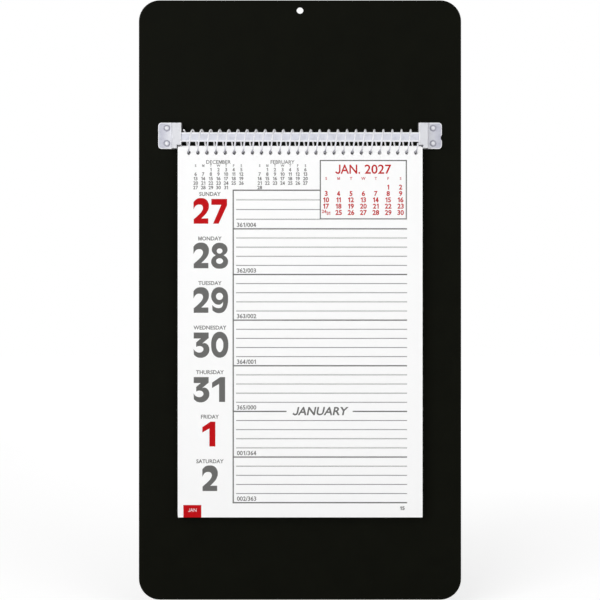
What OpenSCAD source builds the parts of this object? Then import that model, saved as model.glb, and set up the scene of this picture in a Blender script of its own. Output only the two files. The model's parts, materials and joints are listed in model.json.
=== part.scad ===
// Weekly memo calendar for a wall: a black board, a hanger bar in two riveted brackets,
// and a coil-bound pad of week sheets that hangs from the bar.
// Millimetres. The origin is the centre of the hanging hole on the board's back face,
// +Z is up, +X is to the right as the sheets are read, and +Y goes into the wall.

/* [Backing board] */
// Width of the board
board_w = 215; // [200:1:260]
// Height of the board
board_h = 400; // [350:1:460]
// Thickness of the board
board_t = 2; // [1.6:0.1:4]
// Radius of the board's corners
board_corner_r = 14; // [4:0.5:24]
// Diameter of the hanging hole
hang_hole_d = 4.5; // [3:0.1:7]
// Distance from the board's top edge down to the hanging hole's centre
hang_hole_drop = 6.7; // [5:0.1:14]

/* [Hanger bar] */
// Distance from the hanging hole's centre down to the bar's top edge
bar_drop = 82.2; // [60:0.1:110]
// Height of the bar
bar_h = 6.3; // [4:0.1:7]
// Thickness of the bar, whose top and bottom edges are fully round
bar_t = 1.2; // [0.8:0.1:1.6]
// Distance of the bar's middle plane behind the coil's axis
bar_set_back = 1.9; // [1.4:0.1:2.4]

/* [Brackets] */
// Gap between the coil's end and the bracket beside it
coil_end_gap = 0.8; // [0.3:0.05:2]
// Width of a bracket
bracket_w = 15.6; // [15.2:0.1:20]
// Height of a bracket
bracket_h = 17.4; // [17:0.1:24]
// Height of the brackets' middle above the bar's middle
bracket_rise = 1.4; // [0:0.1:2]
// Radius of a bracket's two outer corners
bracket_corner_r = 2.2; // [0.5:0.1:4]
// Thickness of the flange that lies on the board
flange_t = 2; // [1.2:0.1:3]
// Width of the raised block's front face
block_w = 5.6; // [5.3:0.1:6]
// Run of the ramp from the block's front face out to the flange
block_ramp = 1.4; // [0.5:0.1:1.8]
// Wall of the block in front of the bar
block_wall = 1; // [0.6:0.1:1.6]
// How far the block's top face slopes down from the flange to the block's front
block_draft = 0.8; // [0.1:0.1:1.5]
// Clearance round the bar in the blocks
socket_clear = 0.15; // [0.1:0.01:0.3]
// Depth of the left block's blind socket
socket_depth = 5; // [3:0.1:5.3]
// Clearance between the bar's left end and the socket's floor
socket_end_clear = 0.3; // [0.1:0.05:1]
// Clearance between the blocks and the pad's top corners
pad_corner_clear = 0.3; // [0.3:0.1:1]
// Width of the thumb notch in the right bracket's outer edge
thumb_notch_w = 3.6; // [2:0.1:6]
// Depth of the thumb notch
thumb_notch_depth = 0.7; // [0.3:0.1:1]

/* [Bracket rivets] */
// Distance between a bracket's two rivets
rivet_spacing = 10.2; // [8:0.1:11]
// Distance from a bracket's outer edge to its rivets
rivet_inset = 5.8; // [5:0.1:6.2]
// Diameter of a rivet's head
rivet_head_d = 4.4; // [3.8:0.1:4.6]
// Height of a rivet's domed head
rivet_head_h = 1; // [0.6:0.1:1.6]
// Diameter of a rivet's shank
rivet_shank_d = 2.4; // [1.6:0.1:3]
// Diameter of the rivet's flat tail in the board's back
rivet_tail_d = 4; // [3.4:0.1:5]
// Thickness of the tail
rivet_tail_t = 0.6; // [0.4:0.1:0.8]
// Depth of the head's seat in the flange
rivet_seat_depth = 0.4; // [0.2:0.1:0.8]
// Clearance round a rivet's head, shank and tail
rivet_clear = 0.1; // [0.05:0.05:0.2]
// Radius of the ring groove in a rivet's head
rivet_groove_r = 1.15; // [0.8:0.05:1.4]
// Width of the ring groove
rivet_groove_w = 0.5; // [0.3:0.05:0.6]

/* [Binding coil] */
// Outer diameter of the coil
coil_od = 16; // [15:0.5:20]
// Diameter of the coil's plastic wire
coil_wire_d = 1.1; // [0.8:0.05:1.4]
// Advance of the coil in one turn, which is also the spacing of the sheets' holes
coil_lead = 6; // [5.8:0.05:7]
// Gap between the coil's back and the board
coil_board_gap = 0.4; // [0.3:0.1:2]
// Gap between the bar's top edge and the coil that hangs on it
coil_hang_gap = 0.3; // [0.2:0.05:0.6]
// How far the coil runs on to the left of its first hole, in degrees
coil_left_deg = 180; // [90:5:180]
// How far the coil runs on to the right of its last hole, in degrees
coil_right_deg = 75; // [40:5:180]
// Sideways offset of the coil's row of holes from the board's middle
coil_shift = 1.2; // [0:0.1:1.6]

/* [Week sheets] */
// Number of week sheets, one for each week that a year touches
sheet_count = 53; // [40:1:53]
// Width of a sheet
sheet_w = 161.5; // [159:0.5:164]
// Height of a sheet
sheet_h = 244.5; // [200:0.5:260]
// Thickness of a sheet's paper
sheet_t = 0.09; // [0.06:0.01:0.1]
// Air between one sheet and the next
sheet_gap = 0.01; // [0.005:0.005:0.02]
// Number of holes along a sheet's top edge
hole_count = 26; // [24:1:28]
// Distance from a sheet's top edge down to the middle of its holes
hole_inset = 3.6; // [2.8:0.1:4.6]
// Sideways offset of the row of holes from the sheet's middle
hole_row_shift = 1.1; // [0.1:0.1:1.5]
// Clearance round the wire when it lies in a hole's middle
hole_clear = 1.05; // [0.9:0.05:1.3]
// How far a sheet hangs below the wire's middle
hole_hang = 0.25; // [0.1:0.05:0.35]
// Clearance between the wire and the ends of the front sheet's slots over its whole turn
slot_side_clear = 0.3; // [0.26:0.02:0.36]
// How far the front sheet turns up round the coil, in degrees
sheet_turn_deg = 155; // [90:5:160]

/* [Hidden] */
$fn = 64;
// How far a cut runs past the face that it opens
cut_past = 1;
coil_rings_per_turn = 16;
coil_sides = 6;

// Board
board_top = hang_hole_drop;
board_front_y = -board_t;

// Coil: its centre line's radius, its axis and the clear radius inside its flats
coil_r = (coil_od - coil_wire_d) / 2;
coil_inside_r = coil_r * cos(180 / coil_rings_per_turn) - coil_wire_d / 2;
coil_axis_y = board_front_y - coil_board_gap - coil_od / 2;
coil_turns = hole_count - 1 + (coil_left_deg + coil_right_deg) / 360;
hole_first_x = -(hole_count - 1) * coil_lead / 2;
// How far the end that reaches out further is from the board's middle
coil_reach_x = coil_wire_d / 2 - hole_first_x
    + max(coil_lead * coil_left_deg / 360 - coil_shift, coil_lead * coil_right_deg / 360 + coil_shift);

// Bar: the axis of its round top edge, on which the coil hangs
bar_r = bar_t / 2;
bar_y = coil_axis_y + bar_set_back;
bar_axis_z = -bar_drop - bar_r;
bar_mid_z = -bar_drop - bar_h / 2;
coil_hang_r = coil_inside_r - bar_r - coil_hang_gap;
coil_axis_z = bar_axis_z - sqrt(coil_hang_r * coil_hang_r - bar_set_back * bar_set_back);

// Brackets, both written for the right side
bracket_in_x = coil_reach_x + coil_end_gap;
bracket_out_x = bracket_in_x + bracket_w;
bracket_mid_z = bar_mid_z + bracket_rise;
bracket_top_z = bracket_mid_z + bracket_h / 2;
block_front_y = bar_y - bar_r - socket_clear - block_wall;
flange_front_y = board_front_y - flange_t;
rivet_x = bracket_out_x - rivet_inset;
thumb_notch_r = (pow(thumb_notch_w / 2, 2) + pow(thumb_notch_depth, 2)) / (2 * thumb_notch_depth);
bar_left_x = -bracket_in_x - socket_depth + socket_end_clear;
bar_right_x = bracket_in_x + block_w;

// Sheets: the pad is centred under the bar, and each sheet hangs where the wire crosses it
sheet_pitch = sheet_t + sheet_gap;
pad_front_y = bar_y - sheet_count * sheet_pitch / 2;
hole_d = coil_wire_d + 2 * hole_clear;
// The front sheet's holes are slots: the wire starts at one end and reaches the other as the sheet turns
// up. The other sheets don't turn in this model, and their holes are round.
slot_travel = coil_lead * sheet_turn_deg / 360;
slot_w = slot_travel + coil_wire_d + 2 * slot_side_clear;
function sheet_mid_y(i) = pad_front_y + (i + 0.5) * sheet_pitch;
function wire_angle(i) = asin((coil_axis_y - sheet_mid_y(i)) / coil_r);
function hole_row_x(i) = coil_shift + coil_lead * wire_angle(i) / 360;
function hole_row_z(i) = coil_axis_z - coil_r * cos(wire_angle(i)) - hole_hang;
pad_top_z = hole_row_z(sheet_count - 1) + hole_inset;
pad_side_x = max([for (i = [0, sheet_count - 1]) abs(hole_row_x(i) - hole_row_shift)]) + sheet_w / 2;

function two_digits(n) = n < 10 ? str("0", n) : str(n);
SHEETS = [for (i = [1 : sheet_count]) str("week_sheet_", two_digits(i))];

// A flat outline, drawn as seen from the front, made thick towards the viewer from y
module plate(y, thickness)
    translate([0, y, 0]) rotate([90, 0, 0]) linear_extrude(thickness) children();

// A round pin or hole along Y, from y towards the viewer
module pin_y(x, z, y, length, d)
    translate([x, y, z]) rotate([90, 0, 0]) cylinder(d = d, h = length);

module rounded_outline(w, h, r) {
    square([w - 2 * r, h], center = true);
    square([w, h - 2 * r], center = true);
    for (x = [-1, 1], z = [-1, 1])
        translate([x * (w / 2 - r), z * (h / 2 - r)]) circle(r);
}

module backing_board() {
    color([0.08, 0.08, 0.065]) difference() {
        plate(0, board_t)
            translate([0, board_top - board_h / 2]) rounded_outline(board_w, board_h, board_corner_r);
        pin_y(0, 0, cut_past, board_t + 2 * cut_past, hang_hole_d);
        at_rivets() {
            pin_y(0, 0, cut_past, board_t + 2 * cut_past, rivet_shank_d + 2 * rivet_clear);
            pin_y(0, 0, cut_past, cut_past + rivet_tail_t, rivet_tail_d + 2 * rivet_clear);
        }
    }
}

// The two rivets of the right bracket, and the left bracket's with both
module at_bracket_rivets()
    for (z = [-1, 1]) translate([rivet_x, 0, bracket_mid_z + z * rivet_spacing / 2]) children();

module at_rivets()
    for (side = [0, 1]) mirror([side, 0, 0]) at_bracket_rivets() children();

// The bar's section in Y and Z about its middle, grown by a clearance
module bar_section(clear) {
    for (z = [-1, 1]) translate([0, z * (bar_h / 2 - bar_r)]) circle(bar_r + clear);
    square([bar_t + 2 * clear, bar_h - bar_t], center = true);
}

module bar_length(from_x, to_x, clear = 0)
    translate([from_x, bar_y, bar_mid_z]) rotate([90, 0, 90]) linear_extrude(to_x - from_x) bar_section(clear);

// The flange's outline: square at the coil, rounded at the outer edge
module flange_outline() {
    translate([bracket_in_x, bracket_mid_z - bracket_h / 2])
        square([bracket_w - bracket_corner_r, bracket_h]);
    translate([bracket_in_x, bracket_mid_z - bracket_h / 2 + bracket_corner_r])
        square([bracket_w, bracket_h - 2 * bracket_corner_r]);
    for (z = [-1, 1])
        translate([bracket_out_x - bracket_corner_r, bracket_mid_z + z * (bracket_h / 2 - bracket_corner_r)])
            circle(bracket_corner_r);
}

// The raised block's section seen from above, with its ramp down to the flange
module block_outline()
    polygon([
        [bracket_in_x, board_front_y],
        [bracket_in_x, block_front_y],
        [bracket_in_x + block_w, block_front_y],
        [bracket_in_x + block_w + block_ramp, flange_front_y],
        [bracket_in_x + block_w + block_ramp, board_front_y]
    ]);

// What the slope of the block's top face takes away
module block_draft_cut()
    translate([bracket_in_x - cut_past, 0, bracket_top_z]) rotate([90, 0, 90])
        linear_extrude(block_w + block_ramp + 2 * cut_past)
            polygon([
                [flange_front_y, 0],
                [block_front_y, -block_draft],
                [block_front_y - cut_past, -block_draft],
                [block_front_y - cut_past, cut_past],
                [flange_front_y, cut_past]
            ]);

// Room for the pad's top corner under the block
module pad_corner_relief()
    translate([bracket_in_x - cut_past, block_front_y - cut_past, bracket_mid_z - bracket_h / 2 - cut_past])
        cube([
            pad_side_x + pad_corner_clear - bracket_in_x + cut_past,
            flange_front_y - block_front_y + cut_past,
            pad_top_z + pad_corner_clear - bracket_mid_z + bracket_h / 2 + cut_past
        ]);

module bracket_body()
    difference() {
        union() {
            plate(board_front_y, flange_t) flange_outline();
            translate([0, 0, bracket_mid_z - bracket_h / 2]) linear_extrude(bracket_h) block_outline();
        }
        block_draft_cut();
        pad_corner_relief();
        at_bracket_rivets() {
            pin_y(0, 0, board_front_y + cut_past, flange_t + 2 * cut_past, rivet_shank_d + 2 * rivet_clear);
            pin_y(0, 0, flange_front_y + rivet_seat_depth, rivet_seat_depth + cut_past,
                rivet_head_d + 2 * rivet_clear);
        }
    }

module left_bracket() {
    color([0.86, 0.86, 0.9]) difference() {
        mirror([1, 0, 0]) bracket_body();
        bar_length(-bracket_in_x - socket_depth, -bracket_in_x + cut_past, socket_clear);
    }
}

module right_bracket() {
    color([0.86, 0.86, 0.9]) difference() {
        bracket_body();
        bar_length(bracket_in_x - cut_past, bracket_out_x, socket_clear);
        pin_y(bracket_out_x + thumb_notch_r - thumb_notch_depth, bar_mid_z, board_front_y + cut_past,
            flange_t + 2 * cut_past, 2 * thumb_notch_r);
    }
}

// One rivet about its own axis, with its head's seat at height 0 and its tail below
module rivet() {
    grip = flange_t - rivet_seat_depth + board_t;
    dome_r = (pow(rivet_head_d / 2, 2) + pow(rivet_head_h, 2)) / (2 * rivet_head_h);
    rotate_extrude() difference() {
        intersection() {
            translate([0, rivet_head_h - dome_r]) circle(dome_r);
            square([rivet_head_d / 2, rivet_head_h]);
        }
        translate([rivet_groove_r, rivet_head_h]) circle(d = rivet_groove_w);
    }
    translate([0, 0, -grip]) cylinder(d = rivet_shank_d, h = grip);
    translate([0, 0, -grip]) cylinder(d = rivet_tail_d, h = rivet_tail_t);
}

module bracket_rivets() {
    color([0.9, 0.9, 0.93]) at_rivets()
        translate([0, flange_front_y + rivet_seat_depth, 0]) rotate([90, 0, 0]) rivet();
}

module hanger_bar() {
    color([0.84, 0.84, 0.9]) bar_length(bar_left_x, bar_right_x);
}

// The coil's centre line: angle 0 is at the bottom of the first turn, and the angle grows towards
// the front, so that each front strand climbs to the right
function coil_point(a) = [
    coil_shift + hole_first_x + coil_lead * a / 360,
    coil_axis_y - coil_r * sin(a),
    coil_axis_z - coil_r * cos(a)
];
function unit(v) = v / norm(v);
function coil_heading(a) = unit([coil_lead / (2 * PI), -coil_r * cos(a), coil_r * sin(a)]);
function coil_outward(a) = [0, -sin(a), -cos(a)];

coil_steps = ceil(coil_turns * coil_rings_per_turn);
coil_angles = [for (k = [0 : coil_steps]) -coil_left_deg + coil_turns * 360 * k / coil_steps];
// Each end runs straight for one wire diameter past the last ring
function coil_ring(p, a) = [
    for (k = [0 : coil_sides - 1])
        let (turn = 360 * k / coil_sides)
        p + coil_wire_d / 2 * (
            cos(turn) * coil_outward(a) + sin(turn) * cross(coil_heading(a), coil_outward(a))
        )
];
function coil_rings() =
    let (first = coil_angles[0], last = coil_angles[coil_steps])
    concat(
        [coil_ring(coil_point(first) - coil_wire_d * coil_heading(first), first)],
        [for (a = coil_angles) coil_ring(coil_point(a), a)],
        [coil_ring(coil_point(last) + coil_wire_d * coil_heading(last), last)]
    );

// Least distance between the coil's turns, from wire to wire
function coil_least_gap() =
    let (points = [for (a = coil_angles) coil_point(a)], half = coil_rings_per_turn / 2)
    min([
        for (i = [0 : coil_steps - half], j = [i + half : min(coil_steps, i + 4 * half)])
            norm(points[i] - points[j])
    ]) - coil_wire_d;

// A closed tube through rings of equal size, with all faces as triangles
module tube(rings) {
    sides = len(rings[0]);
    last = len(rings) - 1;
    wall = [
        for (i = [0 : last - 1], k = [0 : sides - 1])
            let (a = i * sides + k, b = i * sides + (k + 1) % sides, c = a + sides, d = b + sides)
            each [[a, b, d], [a, d, c]]
    ];
    start_cap = [for (k = [1 : sides - 2]) [0, k + 1, k]];
    end_cap = [for (k = [1 : sides - 2]) [last * sides, last * sides + k, last * sides + k + 1]];
    polyhedron(points = [for (ring = rings) each ring], faces = concat(wall, start_cap, end_cap));
}

module binding_coil() {
    echo(coil_least_gap_mm = coil_least_gap());
    color([0.93, 0.93, 0.95]) tube(coil_rings());
}

// A slot of the front sheet about the place where the wire starts
module slot_outline()
    translate([slot_travel / 2, 0]) {
        for (x = [-1, 1]) translate([x * (slot_w - hole_d) / 2, 0]) circle(d = hole_d);
        square([slot_w - hole_d, hole_d], center = true);
    }

// A sheet's outline about the middle of its row of holes
module sheet_outline(turns)
    difference() {
        translate([-sheet_w / 2 - hole_row_shift, hole_inset - sheet_h]) square([sheet_w, sheet_h]);
        for (k = [0 : hole_count - 1]) translate([hole_first_x + k * coil_lead, 0])
            if (turns) slot_outline(); else circle(d = hole_d);
    }

// Sheet i, counted from 0 at the front
module week_sheet(i) {
    color([0.98, 0.98, 0.97])
        translate([hole_row_x(i), 0, hole_row_z(i)])
            plate(sheet_mid_y(i) + sheet_t / 2, sheet_t) sheet_outline(turns = i == 0);
}

backing_board();
left_bracket();
right_bracket();
bracket_rivets();
hanger_bar();
binding_coil();
for (i = [0 : sheet_count - 1])
    week_sheet(i);
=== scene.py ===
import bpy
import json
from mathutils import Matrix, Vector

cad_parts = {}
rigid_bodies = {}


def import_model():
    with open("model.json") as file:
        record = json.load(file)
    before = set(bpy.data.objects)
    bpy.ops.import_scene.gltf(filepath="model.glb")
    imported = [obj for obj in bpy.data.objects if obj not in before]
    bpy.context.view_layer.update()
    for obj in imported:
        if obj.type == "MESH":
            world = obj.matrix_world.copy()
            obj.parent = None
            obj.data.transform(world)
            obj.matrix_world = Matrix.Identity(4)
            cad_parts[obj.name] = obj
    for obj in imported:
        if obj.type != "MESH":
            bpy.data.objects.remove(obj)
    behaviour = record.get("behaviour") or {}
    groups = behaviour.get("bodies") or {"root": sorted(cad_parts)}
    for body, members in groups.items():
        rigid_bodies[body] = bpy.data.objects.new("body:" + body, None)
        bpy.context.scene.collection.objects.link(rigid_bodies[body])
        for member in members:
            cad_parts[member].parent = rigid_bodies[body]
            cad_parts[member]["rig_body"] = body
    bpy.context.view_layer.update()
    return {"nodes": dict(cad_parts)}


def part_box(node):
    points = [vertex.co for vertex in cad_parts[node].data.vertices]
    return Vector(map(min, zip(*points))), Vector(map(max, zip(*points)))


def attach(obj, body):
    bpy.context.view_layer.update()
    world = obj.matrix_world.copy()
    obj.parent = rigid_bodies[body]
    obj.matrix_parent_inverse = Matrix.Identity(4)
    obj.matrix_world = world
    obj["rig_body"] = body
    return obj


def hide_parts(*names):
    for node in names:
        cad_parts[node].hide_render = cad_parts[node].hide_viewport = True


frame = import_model()

import calendar
import datetime
import itertools
import json
import math
from collections import namedtuple

import bmesh
import bpy
from bpy.props import FloatProperty, FloatVectorProperty, IntProperty, PointerProperty
from mathutils import Matrix, Vector

bl_info = {
    "name": "Weekly memo calendar",
    "version": (1, 0, 0),
    "blender": (4, 5, 0),
    "location": "View3D > Sidebar > Calendar",
    "description": "Dresses the wall calendar's frame with its board, hanger, coil, sheets and print",
    "category": "Add Mesh",
}

MM = 0.001
# Vertices closer than this are one vertex
WELD = 0.0005 * MM
# Faces that meet at less than this angle are one face, and edges that turn more than this are sharp
FLAT = math.radians(0.5)
SHARP = math.radians(40)
# Turns a flat mesh up into the board's plane
UPRIGHT = Matrix.Rotation(math.radians(90), 4, "X")
# How finely round shapes are drawn
EDGE_SEGMENTS = 3
COIL_STEPS = 36
WIRE_SIDES = 10
HOLE_SIDES = 14
OUTLINE_STEPS = 6
LETTER_STEPS = 3
# Rounding of the coil's ends, as a share of its wire
END_ROUNDING = 0.25
# Refraction of the hanger's plastic, and size of the paper's fibres
PLASTIC_IOR = 1.49
FIBRE = 0.25 * MM
# Limits of the noise's values between which a cloudy tone goes from 0 to 1
NOISE_LIMITS = (0.3, 0.7)
# A bracket's raised block and the ramp beside it, where its tones, with the painted highlight and shade,
# change there, and its corner's radius
BLOCK_WIDTH = 5.6 * MM
BLOCK_RAMP = 1.4 * MM
BLOCK_BLEND = (0.5 * MM, 0.3 * MM)
FLANGE_END = 2 * MM
BRACKET_CORNER = 2.2 * MM
# Where the coil's painted shade and light change, above its foot, and below and above the bar's top
FOOT_BLEND = (0.8 * MM, 2.8 * MM)
TOP_BLEND = (1.5 * MM, 0.5 * MM)
# The rivets' head, and where its ring of painted shade begins and is full, in shares of the radius
RIVET_R = 2.2 * MM
RING_BLEND = (0.4, 0.72)
# Capital height of the built-in font at size 1
FONT_CAPS = 0.682

# Where the board stands in the photograph, which is 600 pixels wide and high
PHOTO_PX = 600.0
BOARD_LEFT_PX = 138.9
BOARD_RIGHT_PX = 461.1

# Lamps, with place and side length in metres and the setting that holds the power
Lamp = namedtuple("Lamp", "name place size power")
LAMPS = (
    Lamp("key_lamp", (-0.9, -1.7, 0.3), 1.2, "key_power"),
    Lamp("fill_lamp", (1.1, -1.7, 0.2), 1.2, "fill_power"),
    Lamp("back_lamp", (0.4, 1.5, 0.8), 1.0, "back_power"),
)
# The floor's reach, the distances between which it goes from near to far, in metres, and its colour
FLOOR_REACH = 4.0
FLOOR_FADE = (1.0, 2.6)
FLOOR_COLOUR = (0.8, 0.8, 0.8, 1.0)

SHEETS = sorted(name for name in frame["nodes"] if name.startswith("week_sheet_"))
# A sheet whose print shows: its node, the Sunday that it starts with and its page number
Week = namedtuple("Week", "name node sunday page")
WEEKS = (
    Week("week_1", SHEETS[0], datetime.date(2026, 12, 27), 15),
    Week("week_2", SHEETS[1], datetime.date(2027, 1, 3), 16),
)
DAYS = 7
# Writing lines of each day from Sunday
WRITING_LINES = (3, 4, 4, 4, 4, 4, 4)
# The month in the box on every sheet of January
BOX_MONTH = datetime.date(2027, 1, 1)
BOX_MONTH_NAME = calendar.month_abbr[BOX_MONTH.month].upper()

# Rows of dates in a month's table, and its places in millimetres from the sheet's left and top edges
TABLE_ROWS = 5
Table = namedtuple("Table", "first_column column_pitch title_caps title_down letter_caps letter_down "
                            "date_caps date_down row_pitch")
LAST_MONTH_TABLE = Table(11.62, 5.03, 2.3, 10.9, 1.55, 12.9, 2.15, 15.85, 2.96)
NEXT_MONTH_TABLE = LAST_MONTH_TABLE._replace(first_column=53.95)
BOX_TABLE = Table(97.87, 8.19, 5.8, 17.4, 1.75, 21.5, 3.0, 27.85, 4.19)
# Left and right ends of the title in the box
BOX_TITLE = (103.8, 140.9)
# The box round the table of the sheet's own month: left, top, right, bottom
MONTH_BOX = (93.98, 8.76, 150.78, 47.33)
# The red tag at the sheet's bottom edge: left, top, right
MONTH_TAG = (3.49, 236.3, 15.38)

# Places in a week's print, from the sheet's left and top edges: the memo column and the days' rules
COLUMN_LEFT = 36.45 * MM
COLUMN_RIGHT = 151.3 * MM
LINE_LEFT = 38.35 * MM
FIRST_RULE = 28.4 * MM
SECOND_RULE = 53.91 * MM
ROW_PITCH = 30.143 * MM
# The days' names and numbers: their middle, the lines on which the first ones stand, and their spacing
DAY_MIDDLE = 21.1 * MM
NAME_DOWN = 32.05 * MM
NUMERAL_DOWN = 50.5 * MM
DAY_PITCH = 29.43 * MM
# The counts of days, a month's heading and its gap in the rule, the tag's letters and the page number
COUNTER_LEFT = 38.9 * MM
COUNTER_RISE = 1.3 * MM
HEADING_MIDDLE = 93.5 * MM
HEADING_GAP = 43.7 * MM
TAG_DOWN = 240.8 * MM
PAGE_RIGHT = 149.7 * MM
PAGE_DOWN = 239.5 * MM

# How words are set: strokes thickened by a share of the height, lean, and stretch
Style = namedtuple("Style", "weight slant stretch", defaults=(0.0, 0.0, 1.0))
PLAIN = Style()
DAY_STYLE = Style(0.03)
HEADING_STYLE = Style(0.03, slant=0.2, stretch=1.05)
PAGE_STYLE = Style(0.05, stretch=1.15)
LETTER_STYLE = Style(0.035)
TITLE_STYLE = Style(0.02)
SIDE_DATE_STYLE = Style(0.04)
BOX_MONTH_STYLE = Style(0.02, stretch=0.92)
BOX_YEAR_STYLE = Style(0.02, stretch=1.04)
BOX_DATE_STYLE = Style(0.045)
TAG_STYLE = Style(-0.015, stretch=0.88)
# Where words stand: the share of their length that lies to the left of their place
STARTING, CENTRED, ENDING = 0.0, 0.5, 1.0
# Share of its height by which a month heading hangs below its rule
HEADING_DROP = 0.46
# Two dates in one place, in shares of a date's height: size, and how far right and up the first, the
# stroke and the second stand
PAIR_SIZE = 0.66
PAIR_PLACES = ((-0.48, 0.42), (0.02, 0.12), (0.5, 0.0))

# Outlines in hundredths of the letter's height from its lower left: C is a corner, S is smooth
Point = namedtuple("Point", "x y smooth")


def C(x, y):
    """A corner of an outline"""
    return Point(x, y, False)


def S(x, y):
    """A smooth point of an outline"""
    return Point(x, y, True)


def oval(x, y, half_w, half_h):
    """A counter with four smooth points"""
    return [S(x + half_w, y), S(x, y + half_h), S(x - half_w, y), S(x, y - half_h)]


def turned(outlines, width, height):
    """The same outlines turned half round"""
    return [[Point(width - p.x, height - p.y, p.smooth) for p in line] for line in outlines]


NUMERALS = {
    "0": [[S(34.1, 102), S(51, 96.5), S(62.5, 82), S(68.3, 50.3), S(62.5, 18.6), S(51, 4.1),
           S(34.1, -1.4), S(17.2, 4.1), S(5.7, 18.6), S(0, 50.3), S(5.7, 82), S(17.2, 96.5)],
          [S(34.1, 76.5), S(44.5, 68), S(48.4, 49), S(44.5, 30),
           S(34.1, 20.9), S(23.7, 30), S(19.8, 49), S(23.7, 68)]],
    "1": [[C(52, 99), C(52, 0), C(28, 0), C(28, 71.8), C(0, 55.3), C(0, 77), C(32.5, 99)]],
    "2": [[C(0, 57), C(0, 86), S(6, 93.5), S(16, 100), S(30, 102.2), S(46, 99), S(57, 88.4), S(61.8, 70.6),
           S(55.5, 48), S(43, 32.4), C(31.5, 21), C(59.2, 21.3), C(59.2, 0), C(0.9, 0), C(0.9, 18),
           S(19.6, 34.5), S(32.9, 49.3), S(37.8, 63), S(33.5, 73), S(23.1, 76.2), S(13, 74), S(6, 67.5)]],
    "3": [[C(0.9, 99), C(60.5, 99), C(60.5, 77), C(34.7, 55.4), S(44.5, 57), S(55.1, 51.7), S(61.4, 41.9),
           S(63.1, 31.2), S(60.5, 17.9), S(51.6, 6.3), S(40.9, 0.2), S(27.6, -1.8), S(14.2, 1), C(1.8, 9.9),
           C(0, 33.9), S(7.1, 25), S(15.1, 20.5), S(24.9, 19.1), S(34.7, 22.7), S(39.7, 32.1), S(35.6, 41),
           S(24.9, 45.1), S(16.9, 44), C(10.7, 41.3), C(10.7, 59.7), C(29.3, 75.2), C(0.9, 75.2)]],
    "4": [[C(36, 99), C(59, 99), C(59, 39), C(70, 39), C(70, 19.5), C(59, 19.5), C(59, 0), C(36, 0),
           C(36, 19.5), C(0, 19.5), C(0, 39)],
          [C(36, 39), C(19, 39), C(36, 69)]],
    "5": [[C(7, 99), C(59, 99), C(59, 77), C(27, 77), C(26, 62), S(38, 64), S(53, 58), S(61.4, 46),
           S(63.1, 32), S(60.5, 17.9), S(51.6, 6.3), S(40.9, 0.2), S(27.6, -1.8), S(14.2, 1), C(1.8, 8),
           C(0, 32), S(13, 24), S(25, 19.5), S(35, 22.7), S(39.7, 32.5), S(35.6, 41), S(26, 44.5),
           C(6, 39)]],
    "7": [[C(0, 98.7), C(62.8, 98.7), C(62.8, 73), C(29, 0), C(6.9, 0), C(39.4, 75), C(0, 75)]],
    "8": [[S(33.7, 101.7), S(56, 93.7), S(65.1, 74.7), S(60.5, 61), C(49.6, 51.6), S(61.2, 43),
           S(67.4, 27.6), S(59.2, 7), S(33.7, -1.8), S(8.2, 7), S(0, 27.6), S(6.2, 43), C(17.8, 51.6),
           S(6.9, 61), S(2.3, 74.7), S(11.4, 93.7)],
          oval(33.5, 68.9, 11.6, 10.4), oval(33.5, 28.8, 13.8, 11.3)],
    "9": [[C(4.1, 31.2), S(10.1, 25.3), S(19, 20.3), S(30.6, 18.7), S(39.5, 20.8), S(45.3, 28), C(47.5, 44),
           S(43, 38.3), S(36.8, 33.7), S(28.8, 32.4), S(17.2, 35.4), S(6.6, 45.7), S(0, 65.3), S(3.9, 84),
           S(14.6, 97.3), S(34.1, 102.3), S(54.6, 93.8), S(64.4, 79.5), S(67.4, 58.2), S(64.4, 29.7),
           S(57.3, 12.8), S(47.5, 2.7), S(34.1, -1), S(19, 0.8), C(5.3, 9.3)],
          oval(33.1, 65.5, 14, 14.4)],
}
NUMERALS["6"] = turned(NUMERALS["9"], 67.4, 101.3)
# From one numeral's left to the next one's, a numeral's usual width, and how far narrow ones stand in
NUMERAL_ADVANCE = 70.5
NUMERAL_WIDTH = 61
NUMERAL_SIDE = {"1": 3.5, "7": 0.6}
# Letters that the built-in font draws below the line, without a flag or too thin, and the gaps beside them
Letter = namedtuple("Letter", "outlines gap")
OWN_LETTERS = {
    "J": Letter([[C(47, 100), C(61, 100), C(61, 28), S(52, 6), S(28, -2), C(0, 13), C(7, 26), S(28, 12),
                  S(41, 17), C(47, 30)]], 5),
    "M": Letter([[C(0, 0), C(0, 100), C(18, 100), C(45, 34), C(72, 100), C(90, 100), C(90, 0), C(77, 0),
                  C(77, 62), C(69, 62), C(51, 0), C(39, 0), C(21, 62), C(13, 62), C(13, 0)]], 14),
    "1": Letter([[C(34, 100), C(34, 0), C(20, 0), C(20, 78), C(0, 70), C(0, 82), C(22, 100)]], 20),
    "4": Letter([[C(34, 100), C(48, 100), C(48, 35), C(60, 35), C(60, 22), C(48, 22), C(48, 0), C(34, 0),
                  C(34, 22), C(0, 22), C(0, 36)], [C(34, 35), C(14, 35), C(34, 72)]], 13),
}


# Settings

def number(name, value, description, **options):
    """A number property"""
    return FloatProperty(name=name, description=description, default=value, **options)


def millimetres(name, value, description):
    """A length property that is written in millimetres and kept in metres"""
    return number(name, value * MM, description, unit="LENGTH", precision=5)


def degrees(name, value, description):
    """An angle property that is written in degrees and kept in radians"""
    return number(name, math.radians(value), description, unit="ROTATION", subtype="ANGLE")


def colour(name, value, description):
    """A linear colour property"""
    return FloatVectorProperty(
        name=name, description=description, default=value, size=3, min=0.0, max=1.0, subtype="COLOR"
    )


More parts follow.
